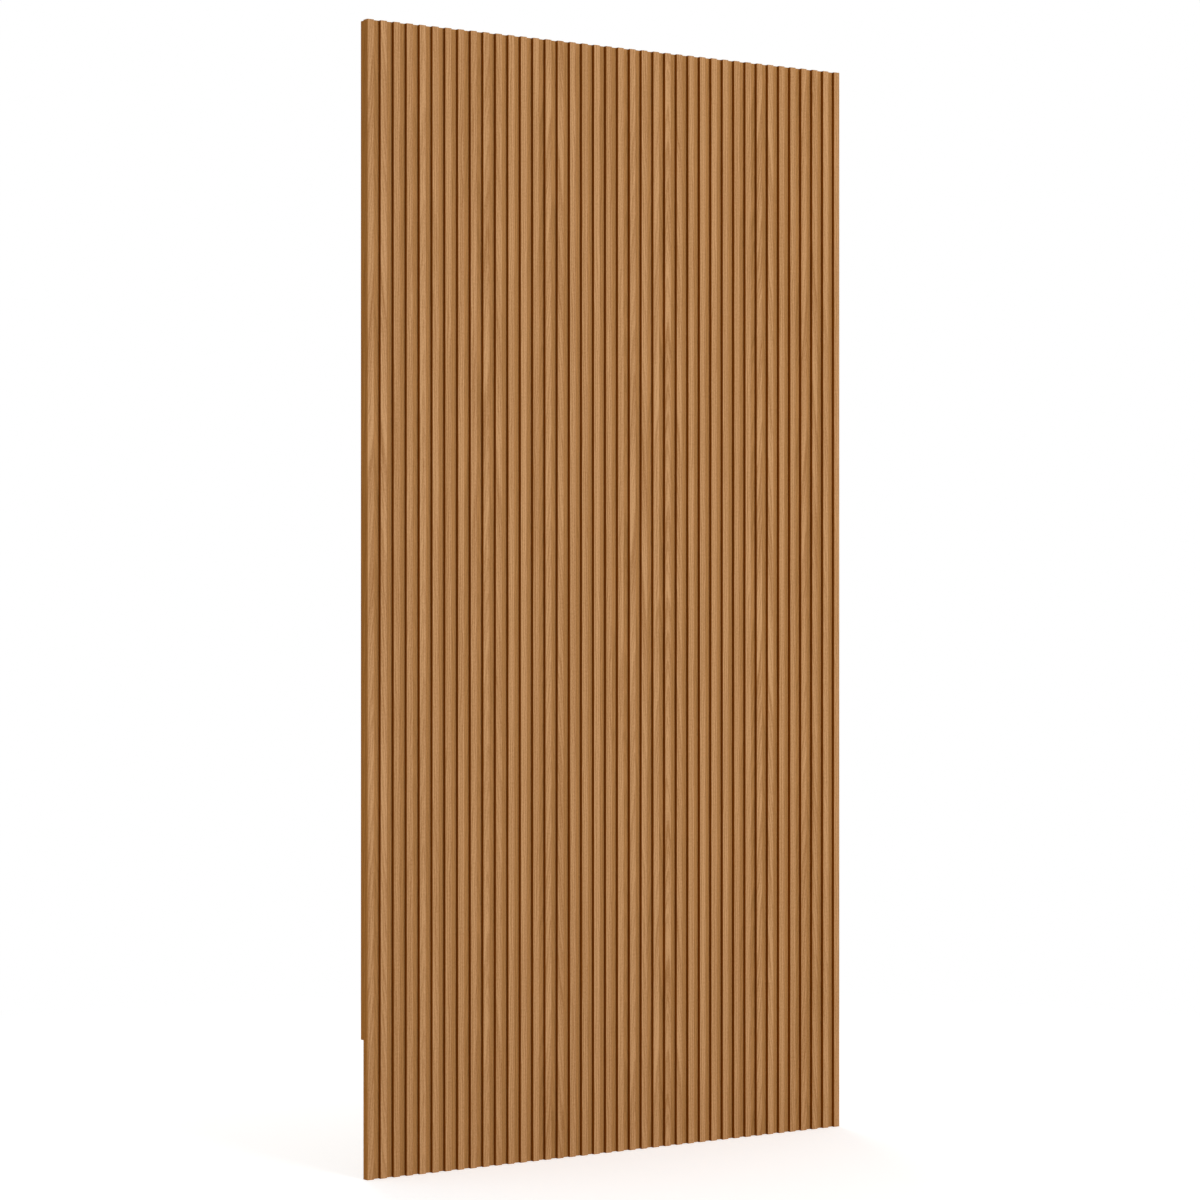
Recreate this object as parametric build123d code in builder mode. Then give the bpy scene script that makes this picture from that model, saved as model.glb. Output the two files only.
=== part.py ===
from build123d import *

import os

os.makedirs("parts", exist_ok=True)

# Slat wall panel: upright slats glued to a backing board, with a frame of battens screwed to its back.
# All sizes are millimetres. X runs across the panel, Z up it, and the slats face -Y.
# The wall is the plane Y = 0, and the origin is the middle of the panel on that plane.

# Overall size
panel_width = 1350.0
panel_height = 2600.0

# Slats, the outer two flush with the board's edges
slat_count = 40
slat_width = 17.0
slat_thickness = 9.0
slat_arris = 1.0

# Backing board
board_thickness = 9.0

# Battens, which stop above the foot so that the panel stands over a skirting board
batten_width = 70.0
batten_thickness = 12.0
batten_arris = 0.8
batten_top_inset = 2.0
skirting_height = 312.0

# Countersunk holes for the screws that hold the battens to the board
hole_radius = 2.0
sink_radius = 4.0
sink_angle = 90.0
hole_end_margin = 60.0
stile_hole_count = 5
rail_hole_count = 2

# Layers, counted from the wall towards the room
board_back = -batten_thickness
board_front = board_back - board_thickness

# Heights and places that follow from the sizes
panel_foot = -panel_height / 2
slat_pitch = (panel_width - slat_width) / (slat_count - 1)
frame_foot = panel_foot + skirting_height
frame_top = panel_height / 2 - batten_top_inset
frame_middle = (frame_top + frame_foot) / 2
frame_height = frame_top - frame_foot
bay_width = (panel_width - 3 * batten_width) / 2
stile_offset = (panel_width - batten_width) / 2
bay_offset = (batten_width + bay_width) / 2
stile_hole_pitch = (frame_height - 2 * hole_end_margin) / (stile_hole_count - 1)
rail_hole_pitch = (bay_width - 2 * hole_end_margin) / (rail_hole_count - 1)

foot_plane = Plane.XY.offset(panel_foot)
wall_plane = Plane.front
drill_direction = (0, 1, 0)

# Backing board, one sheet from foot to top
with BuildPart() as backing_board:
    with BuildSketch(foot_plane):
        with Locations((0, board_back)):
            Rectangle(panel_width, board_thickness, align=(Align.CENTER, Align.MAX))
    extrude(amount=panel_height)
backing_board.part.label = "backing_board"
export_step(backing_board.part, "parts/backing_board.step")

# Slats at an even pitch on the board's front, with both front arrises rounded
for number in range(1, slat_count + 1):
    slat_left = -panel_width / 2 + (number - 1) * slat_pitch
    with BuildPart() as slat:
        with BuildSketch(foot_plane) as slat_section:
            with Locations((slat_left, board_front)):
                Rectangle(slat_width, slat_thickness, align=(Align.MIN, Align.MAX))
            fillet(slat_section.vertices().group_by(Axis.Y)[0], slat_arris)
        extrude(amount=panel_height)
    slat.part.label = f"slat_{number:02d}"
    export_step(slat.part, f"parts/slat_{number:02d}.step")

# Stiles, with their long arrises eased on the wall side: name, middle across
stiles = [
    ("left_stile", -stile_offset),
    ("centre_stile", 0.0),
    ("right_stile", stile_offset),
]
for name, across in stiles:
    with BuildPart() as stile:
        with BuildSketch(wall_plane):
            with Locations((across, frame_middle)):
                Rectangle(batten_width, frame_height)
        extrude(amount=batten_thickness)
        chamfer(stile.edges().filter_by(Axis.Z).group_by(Axis.Y)[-1], batten_arris)
        with Locations(Plane((across, 0, frame_middle), (1, 0, 0), drill_direction)):
            with GridLocations(0, stile_hole_pitch, 1, stile_hole_count):
                CounterSinkHole(hole_radius, sink_radius, counter_sink_angle=sink_angle)
    stile.part.label = name
    export_step(stile.part, f"parts/{name}.step")

# Rails butted between the stiles, three in each bay, eased like the stiles
bays = [
    ("left", -bay_offset),
    ("right", bay_offset),
]
rail_levels = [
    ("top", frame_top - batten_width / 2),
    ("middle", frame_middle),
    ("bottom", frame_foot + batten_width / 2),
]
for side, across in bays:
    for level, up in rail_levels:
        with BuildPart() as rail:
            with BuildSketch(wall_plane):
                with Locations((across, up)):
                    Rectangle(bay_width, batten_width)
            extrude(amount=batten_thickness)
            chamfer(rail.edges().filter_by(Axis.X).group_by(Axis.Y)[-1], batten_arris)
            with Locations(Plane((across, 0, up), (1, 0, 0), drill_direction)):
                with GridLocations(rail_hole_pitch, 0, rail_hole_count, 1):
                    CounterSinkHole(hole_radius, sink_radius, counter_sink_angle=sink_angle)
        rail.part.label = f"{side}_{level}_rail"
        export_step(rail.part, f"parts/{side}_{level}_rail.step")
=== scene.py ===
import math

import bpy
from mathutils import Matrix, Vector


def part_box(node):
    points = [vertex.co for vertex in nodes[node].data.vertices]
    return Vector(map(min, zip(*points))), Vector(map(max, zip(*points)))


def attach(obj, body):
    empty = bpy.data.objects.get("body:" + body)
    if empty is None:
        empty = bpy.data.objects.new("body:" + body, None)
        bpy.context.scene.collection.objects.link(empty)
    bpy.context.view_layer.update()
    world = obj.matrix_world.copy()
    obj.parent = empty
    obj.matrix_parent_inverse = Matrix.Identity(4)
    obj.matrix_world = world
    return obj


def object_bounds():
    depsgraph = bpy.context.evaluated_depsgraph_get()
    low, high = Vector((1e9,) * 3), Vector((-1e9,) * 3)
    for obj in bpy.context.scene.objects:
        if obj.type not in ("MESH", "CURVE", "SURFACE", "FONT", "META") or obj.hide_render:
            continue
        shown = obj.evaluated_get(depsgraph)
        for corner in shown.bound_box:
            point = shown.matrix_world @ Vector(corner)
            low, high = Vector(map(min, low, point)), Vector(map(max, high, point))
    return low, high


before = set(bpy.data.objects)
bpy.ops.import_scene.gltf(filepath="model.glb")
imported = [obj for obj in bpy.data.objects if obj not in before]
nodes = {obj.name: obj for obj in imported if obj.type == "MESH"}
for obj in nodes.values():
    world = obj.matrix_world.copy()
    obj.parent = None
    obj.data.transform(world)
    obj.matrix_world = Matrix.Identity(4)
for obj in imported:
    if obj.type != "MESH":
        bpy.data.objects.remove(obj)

cadBox = [list(corner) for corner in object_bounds()]
bpy.ops.object.select_all(action="DESELECT")
scene = bpy.context.scene
slatNames = sorted(name for name in nodes if name.startswith("slat_"))
stileNames = [name for name in nodes if name.endswith("_stile")]
railNames = [name for name in nodes if name.endswith("_rail")]
mm = 0.001
print("frame:", len(slatNames), "slats,", len(stileNames), "stiles,", len(railNames), "rails")


# sRGB hex to the linear colour that a shader socket takes
def linearColour(hexCode):
    channels = [int(hexCode[i:i + 2], 16) / 255 for i in (0, 2, 4)]
    return (*[c / 12.92 if c <= 0.04045 else ((c + 0.055) / 1.055) ** 2.4 for c in channels], 1.0)


# one node with its settings; an input is a value, a hex colour, a socket,
# or a node whose first live output is meant
def addNode(tree, kind, inputs=(), **settings):
    node = tree.nodes.new("ShaderNode" + kind)
    for name, value in settings.items():
        setattr(node, name, value)
    live = [socket for socket in node.inputs if socket.enabled]
    for key, value in inputs.items() if isinstance(inputs, dict) else enumerate(inputs):
        socket = live[key] if isinstance(key, int) else next(s for s in live if s.name == key)
        if isinstance(value, bpy.types.Node):
            value = next(out for out in value.outputs if out.enabled)
        if isinstance(value, bpy.types.NodeSocket):
            tree.links.new(value, socket)
        else:
            socket.default_value = linearColour(value) if isinstance(value, str) else value
    return node


def startMaterial(name, **constants):
    material = bpy.data.materials.new(name)
    material.use_nodes = True
    shader = material.node_tree.nodes["Principled BSDF"]
    for socket, value in constants.items():
        shader.inputs[socket.replace("_", " ")].default_value = value
    return material, material.node_tree, shader


def joinShader(tree, shader, colour, gloss, bump):
    for socket, node in (("Base Color", colour), ("Roughness", gloss), ("Normal", bump)):
        source = next(out for out in node.outputs if out.enabled)
        tree.links.new(source, shader.inputs[socket])


def dress(names, material):
    for name in names:
        for slot in nodes[name].material_slots:
            slot.material = material


# printed wood grain: long straight lines, with stacked cathedral arches where the log was cut through its crown
grain = {
    "ringMm": (5.5, 8.0),                   # spacing of the growth lines, straight and in arches
    "rise": (0.15, 0.8),                    # where in a ring early wood starts to darken, and is darkest
    "fall": (1.0, 0.82),                    # where the late-wood line has gone, and starts to go
    "crownEveryMm": 165.0,                  # mean distance from one run of arches to the next
    "crownMm": (66, 18),                    # half width where a run fades out, and where it is full
    "bold": (0.4, 1.0),                     # how strongly the faintest and the boldest run show
    "archTall": 9.0,                        # an arch is this many times taller than wide
    "archTipMm": 2.5,                       # rounding of its tip
    "archStart": 1.0,                       # metres by which runs may start out of step
    "flameMm": 24.0,                        # paler and darker bands within a run of arches
    "flamePushMm": 14.0,                    # how far they crowd and spread the arches
    "waver": (26, 200, 2.0, 9.1),           # width mm, length mm, detail, shift of each pattern
    "shiftUp": 0.6,                         # share of its shift by which a pattern also moves up
    "waverMm": 14.0,                        # how far the waver pushes the lines
    "cloud": (22, 420, 1.0, 21.3),          # paler and darker streaks of a slat's width
    "fibre": (4.0, 1000, 3.0, 5.5),         # fine streaks, drawn coarser than life so that they show
    "fleck": (3.2, 5, 2.0, 31.9),           # short mottling
    "pore": (0.8, 10, 1.0, 14.2),           # short open pores, also drawn coarse
    "poreCut": (0.60, 0.75),                # how much of the pore pattern counts as a pore
    "paleBase": -1.37,                      # tone before the patterns, whose shares follow
    "share": {"line": 0.52, "flame": 1.1, "cloud": 0.32, "fibre": 0.97, "fleck": 0.8, "pore": 0.16},
    "sink": {"pore": -0.8, "line": -0.3},   # relief: pores and late wood lie lower than the fibres
}


def layGrain(tree, strip=0.0):
    place = addNode(tree, "SeparateXYZ", [addNode(tree, "TexCoord").outputs["Object"]])
    # the foil is wrapped round each slat, so a point on a side carries on from the front
    across = addNode(tree, "Math", [place.outputs["X"], place.outputs["Y"]], operation="SUBTRACT")
    across = addNode(tree, "Math", [across, strip], operation="ADD")
    foil = addNode(tree, "CombineXYZ", [across, place.outputs["Z"]])
    field = {}
    for name in ("waver", "cloud", "fibre", "fleck", "pore"):
        wide, tall, detail, shift = grain[name]
        spot = addNode(tree, "Mapping", {"Vector": foil, "Location": (shift, grain["shiftUp"] * shift, 0),
                                         "Scale": (1 / (wide * mm), 1 / (tall * mm), 1)})
        field[name] = addNode(tree, "TexNoise", {"Vector": spot, "Scale": 1.0, "Detail": detail},
                              noise_dimensions="2D")
    bent = addNode(tree, "Math", [field["waver"], grain["waverMm"] * mm, across], operation="MULTIPLY_ADD")
    # distance from the nearest crown, at uneven places across the sheet, some runs bolder than others
    leaf = addNode(tree, "TexVoronoi", {"W": bent, "Scale": 1 / (grain["crownEveryMm"] * mm)},
                   voronoi_dimensions="1D")
    own = addNode(tree, "TexWhiteNoise", [leaf.outputs["W"]], noise_dimensions="1D")
    bold = addNode(tree, "MapRange", {"Value": own, "To Min": grain["bold"][0], "To Max": grain["bold"][1]})
    crown = addNode(tree, "Math", [leaf, grain["crownEveryMm"] * mm], operation="MULTIPLY")
    near = addNode(tree, "MapRange", {"Value": crown, "From Min": grain["crownMm"][0] * mm,
                                      "From Max": grain["crownMm"][1] * mm}, interpolation_type="SMOOTHSTEP")
    near = addNode(tree, "Math", [near, bold], operation="MULTIPLY")
    # arches: lines of equal height plus rounded distance from the crown, so their tips point up
    arch = addNode(tree, "CombineXYZ", [crown, grain["archTipMm"] * mm])
    arch = addNode(tree, "VectorMath", [arch], operation="LENGTH").outputs["Value"]
    arch = addNode(tree, "Math", [place.outputs["Z"], 1 / grain["archTall"], arch], operation="MULTIPLY_ADD")
    arch = addNode(tree, "Math", [own, grain["archStart"], arch], operation="MULTIPLY_ADD")
    flame = addNode(tree, "TexNoise", {"W": arch, "Scale": 1 / (grain["flameMm"] * mm), "Detail": 1.0},
                    noise_dimensions="1D")
    arch = addNode(tree, "Math", [flame, grain["flamePushMm"] * mm, arch], operation="MULTIPLY_ADD")
    line = []
    for distance, spacing in zip((bent, arch), grain["ringMm"]):
        ring = addNode(tree, "Math", [distance, 1 / (spacing * mm)], operation="MULTIPLY")
        ring = addNode(tree, "Math", [ring], operation="FRACT")
        # early wood darkens slowly to a late-wood line, then the next ring starts pale
        rise, fall = [addNode(tree, "MapRange", {"Value": ring, "From Min": grain[part][0],
                                                 "From Max": grain[part][1]}, interpolation_type="SMOOTHSTEP")
                      for part in ("rise", "fall")]
        line.append(addNode(tree, "Math", [rise, fall], operation="MULTIPLY"))
    field["line"] = addNode(tree, "Mix", {"Factor": near, "A": line[0], "B": line[1]}, data_type="FLOAT")
    field["flame"] = addNode(tree, "Mix", {"Factor": near, "A": 0.5, "B": flame}, data_type="FLOAT")
    field["pore"] = addNode(tree, "MapRange", {"Value": field["pore"], "From Min": grain["poreCut"][0],
                                               "From Max": grain["poreCut"][1]})
    # one tone from all of them, 0 pale to 1 deep
    tone = grain["paleBase"]
    for name, share in grain["share"].items():
        tone = addNode(tree, "Math", [field[name], share, tone], operation="MULTIPLY_ADD",
                       use_clamp=name in ("fleck", "pore"))
    # embossed relief of a few hundredths of a millimetre
    relief = field["fibre"]
    for name, depth in grain["sink"].items():
        relief = addNode(tree, "Math", [field[name], depth, relief], operation="MULTIPLY_ADD")
    return place, tone, relief


# cut and raw fibreboard: matted short fibres, a few dark specks, no direction
matted = {
    "fibreMm": 1.6,                # drawn coarser than life so that it shows
    "clumpMm": 22.0,
    "speckMm": 3.0,
    "speckCut": (0.16, 0.08),      # rim and full dark of a speck, in its own spacing
    "paleBase": -0.1,
    "share": {"fibre": 0.75, "clump": 0.45, "speck": 0.3},
}


def layFibres(tree, shift=0.0):
    place = addNode(tree, "Mapping", {"Vector": addNode(tree, "TexCoord").outputs["Object"],
                                      "Location": (shift, shift, shift)})
    fibre = addNode(tree, "TexNoise", {"Vector": place, "Scale": 1 / (matted["fibreMm"] * mm), "Detail": 4.0,
                                       "Roughness": 0.65, "Distortion": 0.6})
    clump = addNode(tree, "TexNoise", {"Vector": place, "Scale": 1 / (matted["clumpMm"] * mm), "Detail": 3.0})
    speck = addNode(tree, "TexVoronoi", {"Vector": place, "Scale": 1 / (matted["speckMm"] * mm)})
    speck = addNode(tree, "MapRange", {"Value": speck, "From Min": matted["speckCut"][0],
                                       "From Max": matted["speckCut"][1]})
    tone = matted["paleBase"]
    for name, node in (("fibre", fibre), ("clump", clump), ("speck", speck)):
        tone = addNode(tree, "Math", [node, matted["share"][name], tone], operation="MULTIPLY_ADD",
                       use_clamp=name == "speck")
    return tone, fibre


facing = 0.7      # a face looks along an axis when its normal has at least this much of it

# satin wood-grain foil on the slats: soft sheen, warm brown front, and groove walls in a much deeper, redder
# brown that is painted shade
slat = {
    "pale": "C89868", "deep": "9D6C3C",
    # painted shade: the groove walls are drawn far darker and redder than the foil, for the shade deep in the
    # grooves
    "shadedGroovePale": "945302", "shadedGrooveDeep": "784000",
    # painted shade: the outer side faces get a more saturated brown than the front, the cast the foil takes in
    # shade
    "shadedEdgePale": "BA7A2E", "shadedEdgeDeep": "9E621B",
    "corePale": "B48E64", "coreDeep": "8E6840",
    "toneStep": 0.19,          # how far one slat may differ from the next
    "leadMm": 0.5,             # each slat's count starts this far before its left side
    "turn": (0.15, 0.85),      # where round the arris the front's colour starts to give way, and has gone
    "outerMm": 1.2,            # the panel's own two edges, not groove walls, lie within this of its sides
    "foilMm": 0.3,             # the foil's edge, a rim round the bare core at a cut end
    "seamShadeMm": 0.6,             # painted shadow line where a slat meets the board, also at the foot of each groove wall
    "seamShadeTone": 0.8,
    "roughness": (0.46, 0.6),
    "coreRougher": 0.35,
    "reliefMm": 0.05,
}


def wrapSlats():
    material, tree, shader = startMaterial("woodGrainFoilSatin", Specular_IOR_Level=0.1)
    place, tone, relief = layGrain(tree)
    lo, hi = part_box(slatNames[0])
    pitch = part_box(slatNames[1])[0].x - lo.x
    lead = slat["leadMm"] * mm
    # each slat was cut from its own stretch of foil
    number = addNode(tree, "Math", [place.outputs["X"], -lo.x + lead], operation="ADD")
    number = addNode(tree, "Math", [number, 1 / pitch], operation="MULTIPLY")
    within = addNode(tree, "Math", [number], operation="FRACT")
    number = addNode(tree, "Math", [number], operation="FLOOR")
    own = addNode(tree, "TexWhiteNoise", [number], noise_dimensions="1D")
    tone = addNode(tree, "Math", [own, slat["toneStep"], tone], operation="MULTIPLY_ADD")
    tone = addNode(tree, "Math", [tone, slat["toneStep"] / 2], operation="SUBTRACT", use_clamp=True)

    normal = addNode(tree, "SeparateXYZ", [addNode(tree, "NewGeometry").outputs["Normal"]])
    sideways = addNode(tree, "Math", [normal.outputs["X"]], operation="ABSOLUTE")
    sideways = addNode(tree, "MapRange", {"Value": sideways, "From Min": slat["turn"][0],
                                          "From Max": slat["turn"][1]}, interpolation_type="SMOOTHSTEP")
    outside = addNode(tree, "Math", [place.outputs["X"]], operation="ABSOLUTE")
    outside = addNode(tree, "Math", [outside, -lo.x - slat["outerMm"] * mm], operation="GREATER_THAN")
    # a cut end shows the bare core inside the foil's rim
    cutEnd = addNode(tree, "Math", [normal.outputs["Z"]], operation="ABSOLUTE")
    cutEnd = addNode(tree, "Math", [cutEnd, facing], operation="GREATER_THAN")
    halfWidth = (hi.x - lo.x) / 2
    rim = addNode(tree, "Math", [within, (halfWidth + lead) / pitch], operation="SUBTRACT")
    rim = addNode(tree, "Math", [rim], operation="ABSOLUTE")
    rim = addNode(tree, "Math", [rim, (halfWidth - slat["foilMm"] * mm) / pitch], operation="GREATER_THAN")
    faced = addNode(tree, "Math", [place.outputs["Y"], lo.y + slat["foilMm"] * mm], operation="LESS_THAN")
    rim = addNode(tree, "Math", [rim, faced], operation="MAXIMUM")
    bare = addNode(tree, "Math", [cutEnd, rim], operation="SUBTRACT", use_clamp=True)
    # painted shadow line along the slat's back, where it meets the board
    seamShade = addNode(tree, "MapRange", {"Value": place.outputs["Y"], "From Min": hi.y - slat["seamShadeMm"] * mm,
                                      "From Max": hi.y})
    sideTone = addNode(tree, "Math", [seamShade, slat["seamShadeTone"], tone], operation="MULTIPLY_ADD", use_clamp=True)

    front = addNode(tree, "Mix", {"Factor": tone, "A": slat["pale"], "B": slat["deep"]}, data_type="RGBA")
    # painted shade on the groove walls; only the panel's two outer sides escape it
    groove = addNode(tree, "Mix", {"Factor": sideTone, "A": slat["shadedGroovePale"], "B": slat["shadedGrooveDeep"]},
                     data_type="RGBA")
    edge = addNode(tree, "Mix", {"Factor": sideTone, "A": slat["shadedEdgePale"], "B": slat["shadedEdgeDeep"]},
                   data_type="RGBA")
    side = addNode(tree, "Mix", {"Factor": outside, "A": groove, "B": edge}, data_type="RGBA")
    skin = addNode(tree, "Mix", {"Factor": sideways, "A": front, "B": side}, data_type="RGBA")
    coreTone, coreRelief = layFibres(tree)
    core = addNode(tree, "Mix", {"Factor": coreTone, "A": slat["corePale"], "B": slat["coreDeep"]},
                   data_type="RGBA")
    colour = addNode(tree, "Mix", {"Factor": bare, "A": skin, "B": core}, data_type="RGBA")
    gloss = addNode(tree, "MapRange", {"Value": tone, "To Min": slat["roughness"][0],
                                       "To Max": slat["roughness"][1]})
    gloss = addNode(tree, "Math", [bare, slat["coreRougher"], gloss], operation="MULTIPLY_ADD", use_clamp=True)
    height = addNode(tree, "Mix", {"Factor": bare, "A": relief, "B": coreRelief}, data_type="FLOAT")
    bump = addNode(tree, "Bump", {"Height": height, "Strength": 1.0, "Distance": slat["reliefMm"] * mm})
    joinShader(tree, shader, colour, gloss, bump)
    dress(slatNames, material)
    print("slats wrapped,", len(tree.nodes), "nodes")


# backing board: satin foil on its front and long edges, dull pale raw fibreboard behind; its front, seen only
# as the groove floors, is drawn deeper and browner than the slats' foil as painted shade, and its edges take
# the painted-shade edge brown
board = {
    # painted shade: the groove floor's foil is drawn deeper and browner than the slat fronts
    "pale": "BC874F", "deep": "9D6E3A",
    # painted shade: its long edges get the same more saturated shaded brown as the slats' sides
    "shadedEdgePale": "BA7A2E", "shadedEdgeDeep": "9E621B",
    "rawPale": "C6A274", "rawDeep": "A27E52",
    "stripMm": 31,             # its foil was cut this far along from the slats'
    "roughness": (0.5, 0.62),
    "rawRoughness": 0.86,
    "foilMm": 0.3,
    "seamShadeMm": 0.6,             # painted shadow line at both seams of its edge
    "seamShadeTone": 0.8,
    "reliefMm": 0.05,
}


def faceBoard():
    material, tree, shader = startMaterial("foiledFibreboard", Specular_IOR_Level=0.1)
    place, tone, relief = layGrain(tree, board["stripMm"] * mm)
    lo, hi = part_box("backing_board")
    halfThick = (hi.y - lo.y) / 2
    normal = addNode(tree, "SeparateXYZ", [addNode(tree, "NewGeometry").outputs["Normal"]])
    sideways = addNode(tree, "Math", [normal.outputs["X"]], operation="ABSOLUTE")
    sideways = addNode(tree, "Math", [sideways, facing], operation="GREATER_THAN")
    # the back and the cut ends are bare
    cutEnd = addNode(tree, "Math", [normal.outputs["Z"]], operation="ABSOLUTE")
    bare = addNode(tree, "Math", [cutEnd, normal.outputs["Y"]], operation="MAXIMUM")
    bare = addNode(tree, "Math", [bare, facing], operation="GREATER_THAN")
    faced = addNode(tree, "Math", [place.outputs["Y"], lo.y + board["foilMm"] * mm], operation="LESS_THAN")
    bare = addNode(tree, "Math", [bare, faced], operation="SUBTRACT", use_clamp=True)
    # painted shadow line at both seams of the board's edge
    seamShade = addNode(tree, "Math", [place.outputs["Y"], (lo.y + hi.y) / 2], operation="SUBTRACT")
    seamShade = addNode(tree, "Math", [seamShade], operation="ABSOLUTE")
    seamShade = addNode(tree, "MapRange", {"Value": seamShade, "From Min": halfThick - board["seamShadeMm"] * mm,
                                      "From Max": halfThick})
    edgeTone = addNode(tree, "Math", [seamShade, board["seamShadeTone"], tone], operation="MULTIPLY_ADD", use_clamp=True)
    # painted shade on the groove floor
    front = addNode(tree, "Mix", {"Factor": tone, "A": board["pale"], "B": board["deep"]}, data_type="RGBA")
    edge = addNode(tree, "Mix", {"Factor": edgeTone, "A": board["shadedEdgePale"], "B": board["shadedEdgeDeep"]},
                   data_type="RGBA")
    skin = addNode(tree, "Mix", {"Factor": sideways, "A": front, "B": edge}, data_type="RGBA")
    rawTone, rawRelief = layFibres(tree)
    raw = addNode(tree, "Mix", {"Factor": rawTone, "A": board["rawPale"], "B": board["rawDeep"]},
                  data_type="RGBA")
    colour = addNode(tree, "Mix", {"Factor": bare, "A": skin, "B": raw}, data_type="RGBA")
    gloss = addNode(tree, "MapRange", {"Value": tone, "To Min": board["roughness"][0],
                                       "To Max": board["roughness"][1]})
    gloss = addNode(tree, "Mix", {"Factor": bare, "A": gloss, "B": board["rawRoughness"]}, data_type="FLOAT")
    height = addNode(tree, "Mix", {"Factor": bare, "A": relief, "B": rawRelief}, data_type="FLOAT")
    bump = addNode(tree, "Bump", {"Height": height, "Strength": 1.0, "Distance": board["reliefMm"] * mm})
    joinShader(tree, shader, colour, gloss, bump)
    dress(["backing_board"], material)
    print("board faced,", len(tree.nodes), "nodes")


# battens ripped from raw fibreboard: dull sanded faces, darker fuzzy sawn edges, foil on the two outer edges
# drawn in the painted-shade edge brown
batten = {
    "facePale": "B88F5E", "faceDeep": "8E6940",
    "sawnPale": "A07A4C", "sawnDeep": "785633",
    # painted shade: the foiled outer edges get the more saturated shaded brown
    "shadedEdgePale": "BA7A2E", "shadedEdgeDeep": "9E621B",
    "stripMm": 77,                # their foil was cut this far along from the slats'
    "outerMm": 0.05,              # the foiled edges lie within this of the panel's sides
    "seamShadeMm": 0.6,
    "seamShadeTone": 0.8,
    "flat": (0.5, 0.9),           # how squarely a face looks to the wall: sawn up to here, sanded from here
    "bladeMm": (1.4, 40),         # blade marks on the sawn edges: spacing along the batten, length across it
    "bladeTone": (0.9, -0.45),    # their share of the tone, evened out about its middle
    "roughness": (0.8, 0.92),
    "reliefMm": 0.08,
    "railShift": 3.3,             # the rails come from another stretch of board
    "railLift": 0.06,             # and are a little paler
}


def sawBattens(names, label, along, shift=0.0, lift=0.0):
    material, tree, shader = startMaterial(label, Specular_IOR_Level=0.2)
    place, grainTone = layGrain(tree, batten["stripMm"] * mm)[:2]
    tone, relief = layFibres(tree, shift)
    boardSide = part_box(names[0])[0].y
    # painted shadow line where the batten meets the board
    seamShade = addNode(tree, "MapRange", {"Value": place.outputs["Y"], "From Max": boardSide,
                                      "From Min": boardSide + batten["seamShadeMm"] * mm})
    edgeTone = addNode(tree, "Math", [seamShade, batten["seamShadeTone"], grainTone], operation="MULTIPLY_ADD",
                       use_clamp=True)
    tone = addNode(tree, "Math", [tone, lift], operation="SUBTRACT", use_clamp=True)
    blade = addNode(tree, "CombineXYZ", [place.outputs[along], place.outputs["Y"]])
    blade = addNode(tree, "Mapping", {"Vector": blade, "Scale": (1 / (batten["bladeMm"][0] * mm),
                                                                 1 / (batten["bladeMm"][1] * mm), 1)})
    blade = addNode(tree, "TexNoise", {"Vector": blade, "Scale": 1.0, "Detail": 2.0}, noise_dimensions="2D")
    normal = addNode(tree, "SeparateXYZ", [addNode(tree, "NewGeometry").outputs["Normal"]])
    flat = addNode(tree, "Math", [normal.outputs["Y"]], operation="ABSOLUTE")
    flat = addNode(tree, "MapRange", {"Value": flat, "From Min": batten["flat"][0],
                                      "From Max": batten["flat"][1]})
    cutTone = addNode(tree, "Math", [blade, *batten["bladeTone"]], operation="MULTIPLY_ADD")
    cutTone = addNode(tree, "Math", [cutTone, tone], operation="ADD", use_clamp=True)
    face = addNode(tree, "Mix", {"Factor": tone, "A": batten["facePale"], "B": batten["faceDeep"]},
                   data_type="RGBA")
    sawn = addNode(tree, "Mix", {"Factor": cutTone, "A": batten["sawnPale"], "B": batten["sawnDeep"]},
                   data_type="RGBA")
    raw = addNode(tree, "Mix", {"Factor": flat, "A": sawn, "B": face}, data_type="RGBA")
    edge = addNode(tree, "Mix", {"Factor": edgeTone, "A": batten["shadedEdgePale"], "B": batten["shadedEdgeDeep"]},
                   data_type="RGBA")
    outside = addNode(tree, "Math", [place.outputs["X"]], operation="ABSOLUTE")
    outside = addNode(tree, "Math", [outside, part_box("right_stile")[1].x - batten["outerMm"] * mm],
                      operation="GREATER_THAN")
    colour = addNode(tree, "Mix", {"Factor": outside, "A": raw, "B": edge}, data_type="RGBA")
    gloss = addNode(tree, "MapRange", {"Value": tone, "To Min": batten["roughness"][0],
                                       "To Max": batten["roughness"][1]})
    ridged = addNode(tree, "Mix", {"Factor": flat, "A": blade, "B": relief}, data_type="FLOAT")
    bump = addNode(tree, "Bump", {"Height": ridged, "Strength": 1.0, "Distance": batten["reliefMm"] * mm})
    joinShader(tree, shader, colour, gloss, bump)
    dress(names, material)
    print(label, "on", len(names), "battens")


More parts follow.
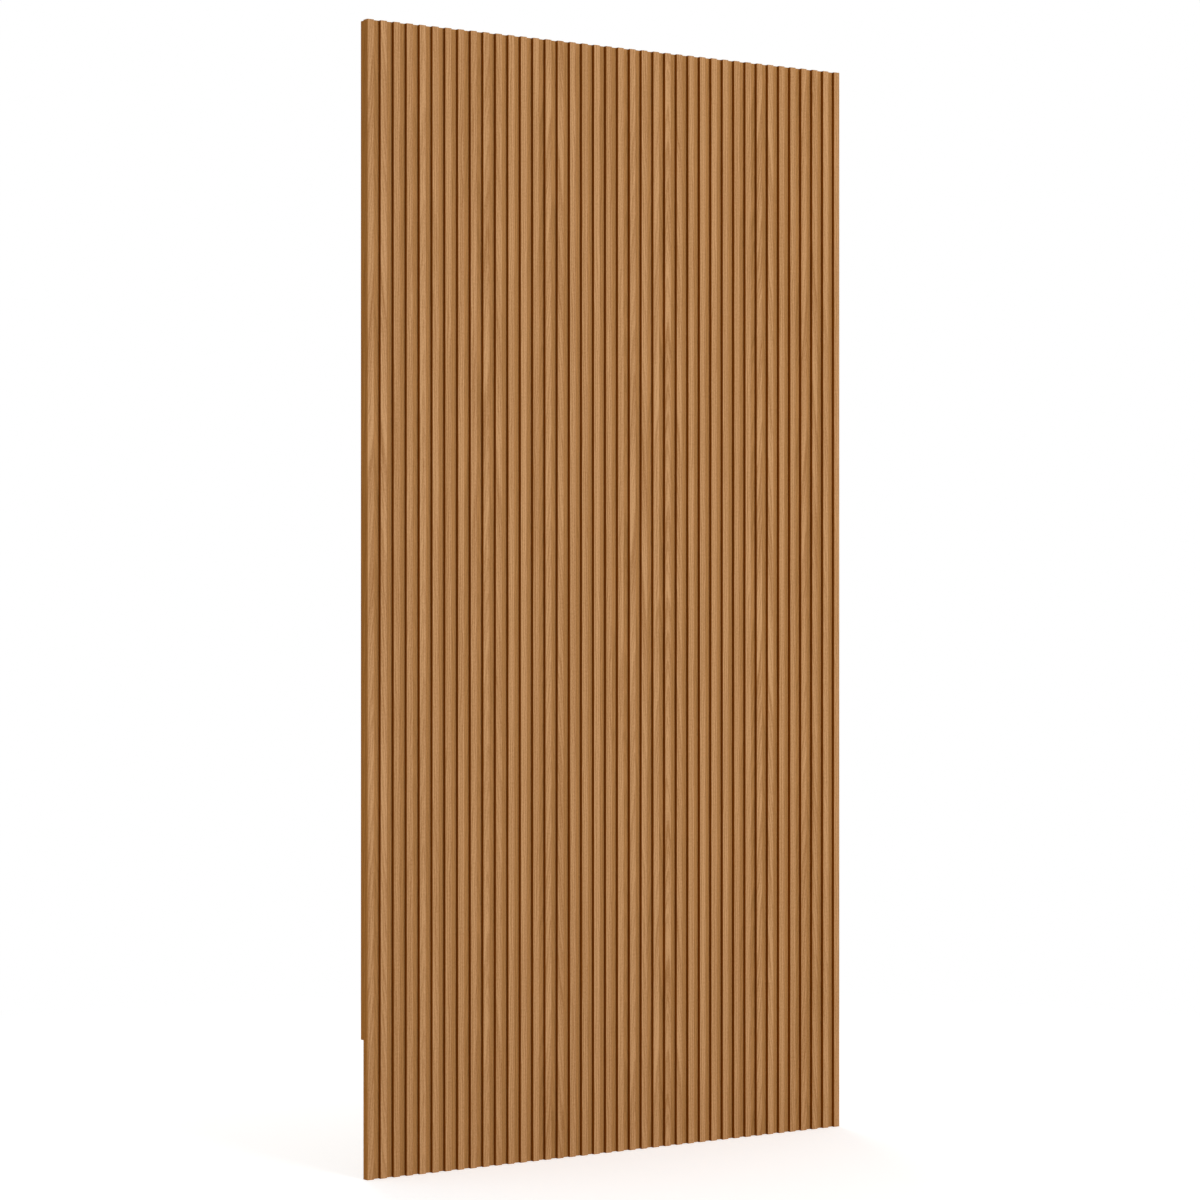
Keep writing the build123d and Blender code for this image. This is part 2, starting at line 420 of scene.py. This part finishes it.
# countersunk wood screws that hold the battens to the board, sunk a touch below the face
screw = {
    "sides": 28,
    "headMm": 3.55, "headDepthMm": 1.85, "sinkMm": 0.42,
    "shankMm": 1.7, "lengthMm": 13.0, "tipMm": 3.5,      # ends about 2 mm short of the board's front
    "tipShare": 0.12,                  # the point's width, of the shank's
    "rimMm": 0.14,
    "slotMm": (4.3, 0.95, 1.5),        # length, width and depth of each arm of the cross recess
    "slotTaper": (0.45, 0.6),          # length and width at its bottom, of those at the top
    "slotOverMm": 0.2,                 # the cutter stands this far proud of the head
    "endMarginMm": 60.0,               # first and last screw from the batten's ends
    "perStile": 5,
    "turnStep": 47.0,                  # degrees from one screw to the next, so that no two stop alike
    "smoothAngle": 30.0,
    "capFacing": 0.9,                  # picks flat ends and not the head's 45-degree flank
    "zincPale": "D8C48A", "zincDeep": "A98F52",
    "cloudMm": 2.2, "gritMm": 0.25,
    "gloss": (0.24, 0.46),
    "reliefMm": 0.01, "reliefStrength": 0.6,
}


def platedSteel():
    # yellow-passivated zinc plating: a soft golden metal with a faint cloudy tint
    material, tree, shader = startMaterial("zincPlatedSteel", Metallic=1.0)
    place = addNode(tree, "TexCoord").outputs["Object"]
    cloud = addNode(tree, "TexNoise", {"Vector": place, "Scale": 1 / (screw["cloudMm"] * mm), "Detail": 2.0})
    grit = addNode(tree, "TexNoise", {"Vector": place, "Scale": 1 / (screw["gritMm"] * mm), "Detail": 2.0})
    colour = addNode(tree, "Mix", {"Factor": cloud, "A": screw["zincPale"], "B": screw["zincDeep"]},
                     data_type="RGBA")
    gloss = addNode(tree, "MapRange", {"Value": grit, "To Min": screw["gloss"][0], "To Max": screw["gloss"][1]})
    bump = addNode(tree, "Bump", {"Height": grit, "Strength": screw["reliefStrength"],
                                  "Distance": screw["reliefMm"] * mm})
    joinShader(tree, shader, colour, gloss, bump)
    return material


def pickFaces(piece, test):
    bpy.ops.mesh.select_all(action="DESELECT")
    bpy.ops.object.mode_set(mode="OBJECT")
    for face in piece.data.polygons:
        face.select = test(face)
    bpy.ops.object.mode_set(mode="EDIT")


def modelScrew():
    head, depth, shank = screw["headMm"] * mm, screw["headDepthMm"] * mm, screw["shankMm"] * mm
    bpy.ops.object.select_all(action="DESELECT")
    bpy.ops.mesh.primitive_cone_add(vertices=screw["sides"], radius1=shank, radius2=head, depth=depth,
                                    location=(0, 0, -depth / 2))
    bpy.ops.object.transform_apply(location=True, rotation=True, scale=True)
    piece = bpy.context.object
    piece.name = "battenScrews"
    bpy.ops.object.mode_set(mode="EDIT")
    bpy.ops.mesh.select_mode(type="FACE")
    # shank and point grow out of the small end
    pickFaces(piece, lambda face: face.normal.z < -screw["capFacing"])
    for size in (screw["lengthMm"], screw["tipMm"]):
        bpy.ops.mesh.extrude_region_move(TRANSFORM_OT_translate={"value": (0, 0, -size * mm)})
    bpy.ops.transform.resize(value=(screw["tipShare"], screw["tipShare"], 1.0))
    # the head's sharp rim is broken
    pickFaces(piece, lambda face: face.normal.z > screw["capFacing"])
    bpy.ops.mesh.bevel(offset=screw["rimMm"] * mm, segments=2, affect="EDGES")
    bpy.ops.object.mode_set(mode="OBJECT")
    # two tapered arms make the cutter for the cross recess
    long, wide, deep = [size * mm for size in screw["slotMm"]]
    over = screw["slotOverMm"] * mm
    arms = []
    for turn, taper in ((0.0, screw["slotTaper"]), (90.0, screw["slotTaper"][::-1])):
        bpy.ops.object.select_all(action="DESELECT")
        bpy.ops.mesh.primitive_cube_add(size=1.0, location=(0, 0, (over - deep) / 2))
        arm = bpy.context.object
        arm.scale = (long, wide, deep + over)
        arm.rotation_euler = (0, 0, math.radians(turn))
        bpy.ops.object.transform_apply(location=True, rotation=True, scale=True)
        bpy.ops.object.mode_set(mode="EDIT")
        pickFaces(arm, lambda face: face.normal.z < -screw["capFacing"])
        bpy.ops.transform.resize(value=(*taper, 1.0))
        bpy.ops.object.mode_set(mode="OBJECT")
        arms.append(arm)
    for arm in arms:
        cut = piece.modifiers.new("crossRecess", "BOOLEAN")
        cut.operation = "DIFFERENCE"
        cut.solver = "EXACT"
        cut.object = arm
        bpy.ops.object.select_all(action="DESELECT")
        piece.select_set(True)
        bpy.context.view_layer.objects.active = piece
        bpy.ops.object.modifier_apply(modifier=cut.name)
    for arm in arms:
        bpy.data.objects.remove(arm, do_unlink=True)
    # from standing on its point to lying along Y, head towards the wall
    piece.rotation_euler = (math.radians(-90.0), 0, 0)
    bpy.ops.object.transform_apply(location=True, rotation=True, scale=True)
    return piece


def screwPlaces():
    margin = screw["endMarginMm"] * mm
    for name in stileNames:
        lo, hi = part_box(name)
        step = (hi.z - lo.z - 2 * margin) / (screw["perStile"] - 1)
        for part in range(screw["perStile"]):
            yield (lo.x + hi.x) / 2, lo.z + margin + part * step
    for name in railNames:
        lo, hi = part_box(name)
        for across in (lo.x + margin, hi.x - margin):
            yield across, (lo.z + hi.z) / 2


def driveScrews():
    first = modelScrew()
    first.data.materials.append(platedSteel())
    copies = []
    for count, (across, up) in enumerate(screwPlaces()):
        bpy.ops.object.select_all(action="DESELECT")
        first.select_set(True)
        bpy.context.view_layer.objects.active = first
        bpy.ops.object.duplicate(linked=False)
        copy = bpy.context.object
        copy.rotation_euler = (0, math.radians(screw["turnStep"] * count), 0)
        copy.location = (across, -screw["sinkMm"] * mm, up)
        bpy.ops.object.transform_apply(location=True, rotation=True, scale=True)
        copies.append(copy)
    bpy.data.objects.remove(first, do_unlink=True)
    bpy.ops.object.select_all(action="DESELECT")
    for copy in copies:
        copy.select_set(True)
    bpy.context.view_layer.objects.active = copies[0]
    bpy.ops.object.join()
    bpy.ops.object.shade_smooth_by_angle(angle=math.radians(screw["smoothAngle"]))
    screws = bpy.context.object
    screws.name = "battenScrews"
    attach(screws, "root")
    print("screws driven,", len(copies), "with", len(screws.data.polygons), "faces")


wrapSlats()
faceBoard()
sawBattens(stileNames, "sawnFibreboardStiles", "Z")
sawBattens(railNames, "sawnFibreboardRails", "X", batten["railShift"], batten["railLift"])
driveScrews()


# studio: white sweep that stays white for the camera far off, and keeps a soft shadow near the panel
studio = {
    "ambient": 0.52,
    "keyWatts": 246, "keySize": 3.0, "keyPlace": (0.7, -7.4, 1.6),
    "backWatts": 150, "backSize": 3.0, "backPlace": (2.4, 6.6, 2.0),
    "floorSize": 80.0,
    "floorWhite": "F2F2F2",
    "floorRoughness": 0.9,
    "floorLift": 0.45,                # brings the lit paper up to white for the camera
    "shadowReach": (1.6, 3.2),        # the floor's own shading fades out between these distances
}


# 1 for what the camera sees, straight or mirrored or through something clear, 0 for the light that falls
def seenByCamera(tree):
    path = addNode(tree, "LightPath")
    seen = path.outputs["Is Camera Ray"]
    for ray in ("Is Glossy Ray", "Is Transmission Ray"):
        seen = addNode(tree, "Math", [seen, path.outputs[ray]], operation="MAXIMUM")
    return seen


def lightStudio():
    world = bpy.data.worlds.new("whiteStudio")
    world.use_nodes = True
    tree = world.node_tree
    tree.nodes.clear()
    strength = addNode(tree, "MapRange", {"Value": seenByCamera(tree), "To Min": studio["ambient"],
                                          "To Max": 1.0})
    sky = addNode(tree, "Background", {"Color": (1, 1, 1, 1), "Strength": strength})
    addNode(tree, "OutputWorld", [sky])
    scene.world = world
    for name in ("key", "back"):
        lamp = bpy.data.lights.new(name + "Softbox", "AREA")
        lamp.shape = "SQUARE"
        lamp.size = studio[name + "Size"]
        lamp.energy = studio[name + "Watts"]
        light = bpy.data.objects.new(name + "Softbox", lamp)
        light.location = studio[name + "Place"]
        light.rotation_euler = (-light.location).to_track_quat("-Z", "Y").to_euler()
        light.visible_camera = False
        scene.collection.objects.link(light)
    print("studio lit")


def layFloor():
    bpy.ops.object.select_all(action="DESELECT")
    bpy.ops.mesh.primitive_plane_add(size=studio["floorSize"], location=(0, 0, cadBox[0][2]))
    floor = bpy.context.object
    floor.name = "paperFloor"
    # matt white studio paper: no sheen, only the panel's soft shadow
    material, tree, shader = startMaterial("mattWhitePaper", Roughness=studio["floorRoughness"],
                                           Specular_IOR_Level=0.1)
    shader.inputs["Base Color"].default_value = linearColour(studio["floorWhite"])
    seen = seenByCamera(tree)
    away = addNode(tree, "VectorMath", [addNode(tree, "TexCoord").outputs["Object"]], operation="LENGTH")
    away = addNode(tree, "MapRange", {"Value": away.outputs["Value"], "From Min": studio["shadowReach"][0],
                                      "From Max": studio["shadowReach"][1]}, interpolation_type="SMOOTHSTEP")
    white = addNode(tree, "Math", [away, seen], operation="MULTIPLY")
    lift = addNode(tree, "Math", [seen, studio["floorLift"]], operation="MULTIPLY")
    near = addNode(tree, "AddShader", [shader, addNode(tree, "Emission", {"Strength": lift})])
    glow = addNode(tree, "Emission", {"Color": (1, 1, 1, 1), "Strength": 1.0})
    mixed = addNode(tree, "MixShader", [white, near, glow])
    tree.links.new(mixed.outputs[0], tree.nodes["Material Output"].inputs["Surface"])
    floor.data.materials.append(material)
    print("floor laid")


lightStudio()
layFloor()


# camera level with the panel's middle, to the left of its front
shot = {
    "place": (-4.4768, -6.4572, -0.001),
    "turn": (90.0, 0.0, -34.6),
    "lens": 99.87,
}
eye = bpy.data.cameras.new("shot")
eye.lens = shot["lens"]
camera = bpy.data.objects.new("shot", eye)
camera.location = shot["place"]
camera.rotation_euler = [math.radians(angle) for angle in shot["turn"]]
scene.collection.objects.link(camera)
scene.camera = camera
scene.view_settings.view_transform = "Standard"
print("camera set")
